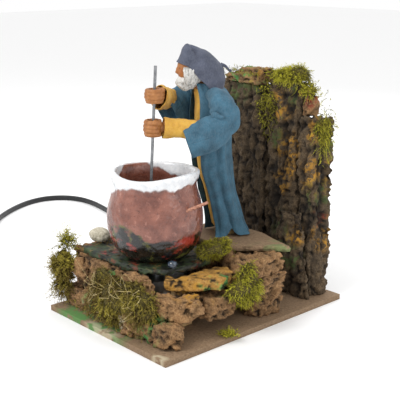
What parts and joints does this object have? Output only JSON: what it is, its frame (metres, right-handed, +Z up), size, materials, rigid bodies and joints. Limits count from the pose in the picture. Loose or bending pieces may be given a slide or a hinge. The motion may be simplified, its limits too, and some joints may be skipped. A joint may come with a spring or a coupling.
{
  "type": "motorised cauldron stirring figure",
  "caption": "Mains-driven nativity scene figure: a hooded, bearded man in a blue coat stirs a cauldron on a mossy cork hearth before a bark wall.",
  "frame": {"origin": "middle of the board's underside, on the surface that the object stands on", "axes": "+Z up; -Y is the front, the cauldron's end; +X is the standing man's left side"},
  "size_m": [0.4573, 0.2244, 0.2245],
  "materials": {
    "fibreboard": "bare brown fibreboard, slightly fuzzy",
    "cork": "rough natural cork bark with dark pits and touches of paint",
    "bark": "rough dark bark with fibrous grooves",
    "ochre_cork": "cork washed with ochre paint",
    "painted_hearth": "cork slab painted dark green and red",
    "stone": "matt pale stone",
    "pebble": "wet-look blue-black pebble",
    "moss": "dried reindeer and feather moss",
    "terracotta_glaze": "glossy copper-brown paint with white rim and black, sooty foot",
    "twig": "whittled twig, painted copper-brown",
    "zinc": "zinc plated sheet",
    "steel": "drawn steel, satin",
    "brass": "turned brass",
    "copper_wire": "enamelled copper winding",
    "pine": "sawn pine",
    "white_plastic": "moulded plastic, matt",
    "painted_clay": "painted clay skin, satin",
    "white_beard": "modelled white hair and beard, matt",
    "blue_cloth": "finely woven teal blue cotton",
    "yellow_cloth": "finely woven mustard yellow cotton",
    "grey_cloth": "finely woven slate grey cotton",
    "hemp": "wound hemp tow",
    "black_plastic": "black flexible and moulded plastic"
  },
  "bodies": {
    "base": {"base_board": "fibreboard", "motor_can": "zinc", "motor_coil": "copper_wire", "motor_cover": "zinc", "motor_post_right": "pine", "motor_post_left": "pine", "motor_screw_right": "steel", "motor_screw_left": "steel", "cork_front_left_lower": "cork", "cork_front_right_lower": "cork", "cork_left": "cork", "cork_right_lower": "cork", "cork_back": "cork", "cork_front_middle": "cork", "cork_corner_middle": "cork", "cork_right_middle": "cork", "cork_right_back": "cork", "cork_right_upper": "cork", "ledge_slab": "ochre_cork", "hearth_slab": "painted_hearth", "standing_plank": "fibreboard", "pale_stone": "stone", "dark_pebble": "pebble", "cauldron_shell": "terracotta_glaze", "cauldron_handle": "twig", "shaft_bush": "brass", "bark_wall_left": "bark", "bark_wall_centre": "bark", "bark_wall_right": "bark", "bark_wall_foot": "bark", "bark_wall_peak": "cork", "wall_top_cork": "cork", "moss_front": "moss", "moss_left": "moss", "moss_by_cauldron": "moss", "moss_right": "moss", "moss_wall_top": "moss", "body_core": "hemp", "shoulder_wire": "steel", "tunic": "yellow_cloth", "coat": "blue_cloth", "head": "painted_clay", "hair_and_beard": "white_beard", "hood": "grey_cloth", "motor_lead": "black_plastic", "cord_clamp": "black_plastic", "strain_relief": "black_plastic", "cord_coil": "black_plastic", "cord_free": "black_plastic", "plug": "black_plastic"},
    "stirrer": {"output_shaft": "steel", "crank_arm": "white_plastic", "crank_grub_screw": "steel", "stirring_rod": "steel"},
    "arm_left": {"arm_and_hand_left": "painted_clay", "tunic_sleeve_left": "yellow_cloth", "coat_sleeve_left": "blue_cloth"},
    "arm_right": {"arm_and_hand_right": "painted_clay", "tunic_sleeve_right": "yellow_cloth", "coat_sleeve_right": "blue_cloth"}
  },
  "joints": [
    {"name": "stir", "type": "hinge", "parent": "base", "child": "stirrer", "pos_m": [0, -0.046, 0.062], "axis": [0, 0, 1], "continuous": true},
    {"name": "arm_left_swing", "type": "hinge", "parent": "base", "child": "arm_left", "pos_m": [0.02657, -0.00016, 0.179], "axis": [0.9404, -0.3401, 0], "range_deg": [-3, 3]},
    {"name": "arm_right_swing", "type": "hinge", "parent": "base", "child": "arm_right", "pos_m": [-0.01857, 0.01616, 0.179], "axis": [0.9404, -0.3401, 0], "range_deg": [-3, 3]}
  ]
}
